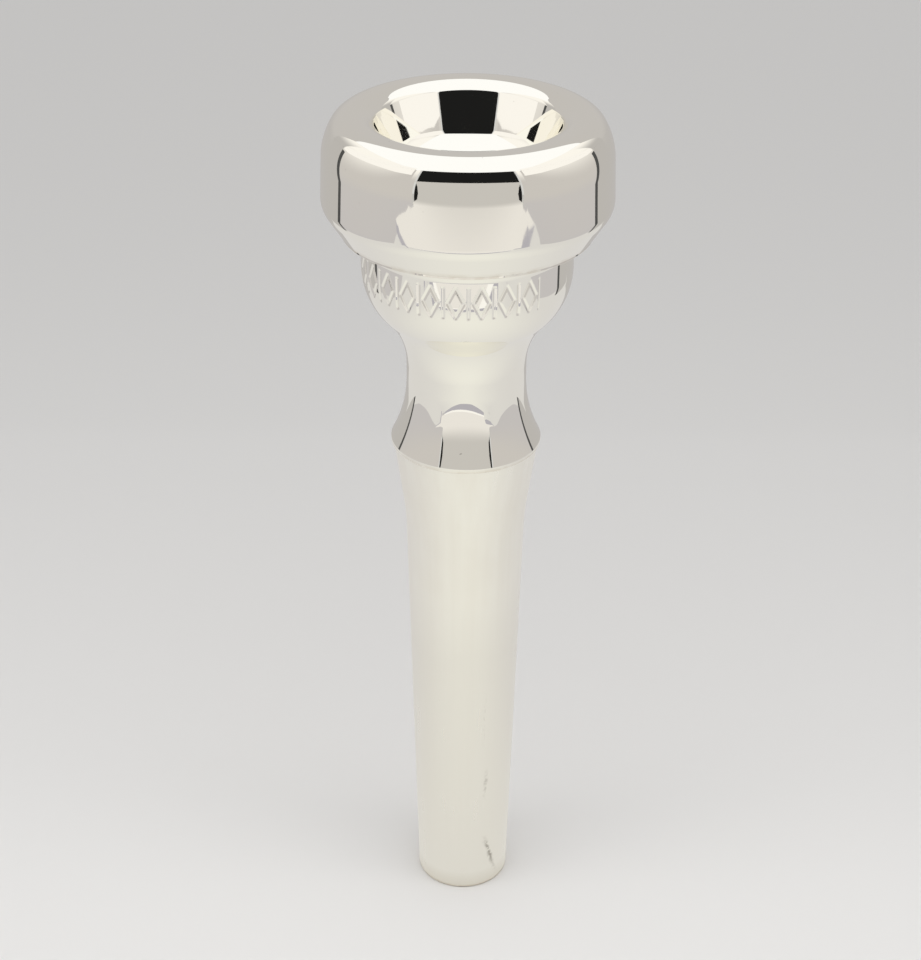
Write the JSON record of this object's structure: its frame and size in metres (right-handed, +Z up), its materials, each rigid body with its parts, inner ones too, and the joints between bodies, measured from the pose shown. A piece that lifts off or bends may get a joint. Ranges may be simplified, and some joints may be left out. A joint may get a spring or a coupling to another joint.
{
  "type": "trumpet mouthpiece",
  "caption": "Trumpet mouthpiece on its shank end: a rounded rim screws onto a bowl-shaped cup, which screws onto a long tapered shank.",
  "frame": {"origin": "centre of the shank's end face, which the mouthpiece stands on", "axes": "+Z up the axis from the shank's end to the rim; X and Y are any two directions across it"},
  "size_m": [0.027, 0.027, 0.0868],
  "materials": {
    "mirror_plate": "brass with silver plate, mirror polished",
    "satin_plate": "brass with silver plate, soft satin sheen"
  },
  "bodies": {
    "shank": {"shank": "satin_plate"},
    "cup": {"cup": "mirror_plate"},
    "rim": {"rim": "mirror_plate"}
  },
  "joints": [
    {"name": "cup_unscrew", "type": "slide", "parent": "shank", "child": "cup", "axis": [0, 0, 1], "range_m": [0, 0.018]},
    {"name": "rim_unscrew", "type": "slide", "parent": "cup", "child": "rim", "axis": [0, 0, 1], "range_m": [0, 0.012]}
  ]
}
